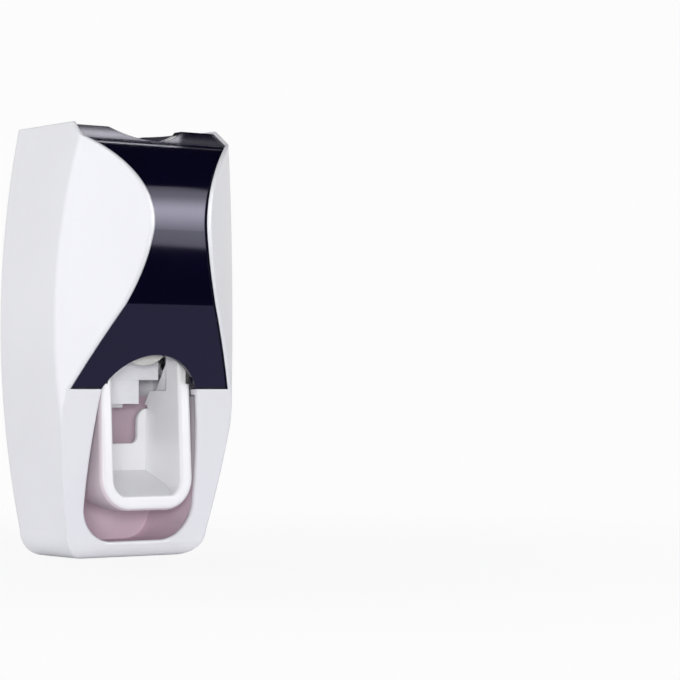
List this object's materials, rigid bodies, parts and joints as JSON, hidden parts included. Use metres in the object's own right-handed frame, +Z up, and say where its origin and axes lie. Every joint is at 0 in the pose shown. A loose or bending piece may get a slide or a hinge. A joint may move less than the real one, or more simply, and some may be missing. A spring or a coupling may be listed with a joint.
{
  "type": "toothpaste dispenser",
  "caption": "Wall-hung toothpaste dispenser: barrel housing with a waisted gloss front, top tube opening and a push cup lever that works a small piston pump.",
  "frame": {"origin": "centre of the adhesive pad's back face, on the wall, 112 mm above the housing's foot", "axes": "+Z up, +Y out of the pad's back face into the wall, so the front faces -Y; +X to the right seen from the front"},
  "size_m": [0.0782, 0.0635, 0.16],
  "materials": {
    "white_shell": "smooth moulded, glossy",
    "dark_gloss": "polished piano gloss, blue-black",
    "mauve_liner": "satin moulded",
    "lever_white": "smooth moulded, satin gloss",
    "grey_plastic": "fine moulded texture",
    "pump_white": "satin moulded",
    "silicone": "milky soft silicone",
    "dark_rubber": "matte",
    "foam": "closed-cell foam with adhesive",
    "steel": "bright zinc-plated",
    "acetal": "waxy satin"
  },
  "bodies": {
    "wall_mount": {"wall_plate": "grey_plastic", "adhesive_pad": "foam"},
    "dispenser": {"front_housing": "white_shell", "front_trim": "dark_gloss", "top_collar": "dark_gloss", "rear_cover": "white_shell", "recess_backing": "mauve_liner", "pump_bracket": "grey_plastic", "pump_body": "pump_white", "pump_end_cap": "pump_white", "end_cap_gasket": "silicone", "nozzle_block": "pump_white", "outlet_valve": "silicone", "inlet_valve": "silicone", "tube_socket": "silicone", "socket_ring": "pump_white", "tube_guide": "grey_plastic", "pivot_pins": "steel", "lever_stop_pads": "dark_rubber", "rear_cover_screws": "steel", "bracket_screws": "steel", "pump_screws": "steel", "end_cap_screws": "steel", "socket_ring_screws": "steel", "piston_spring": "steel"},
    "lever": {"push_lever": "lever_white", "push_bar": "steel", "push_sleeve": "acetal"},
    "pump_piston": {"piston": "acetal", "piston_seal": "dark_rubber"}
  },
  "joints": [
    {"name": "housing_lift", "type": "slide", "parent": "wall_mount", "child": "dispenser", "axis": [0, 0, 1], "range_m": [0, 0.0088]},
    {"name": "lever_push", "type": "hinge", "parent": "dispenser", "child": "lever", "pos_m": [0, -0.032, -0.008], "axis": [1, 0, 0], "range_deg": [0, 5.7], "stiffness_Nm_per_rad": 0.4, "springref_deg": -8.59},
    {"name": "piston_stroke", "type": "slide", "parent": "dispenser", "child": "pump_piston", "axis": [0, 1, 0], "range_m": [0, 0.002], "deforming": ["piston_spring"]}
  ],
  "couplings": [
    {"joint": "piston_stroke", "follows": "lever_push", "m_per_rad": 0.02}
  ]
}
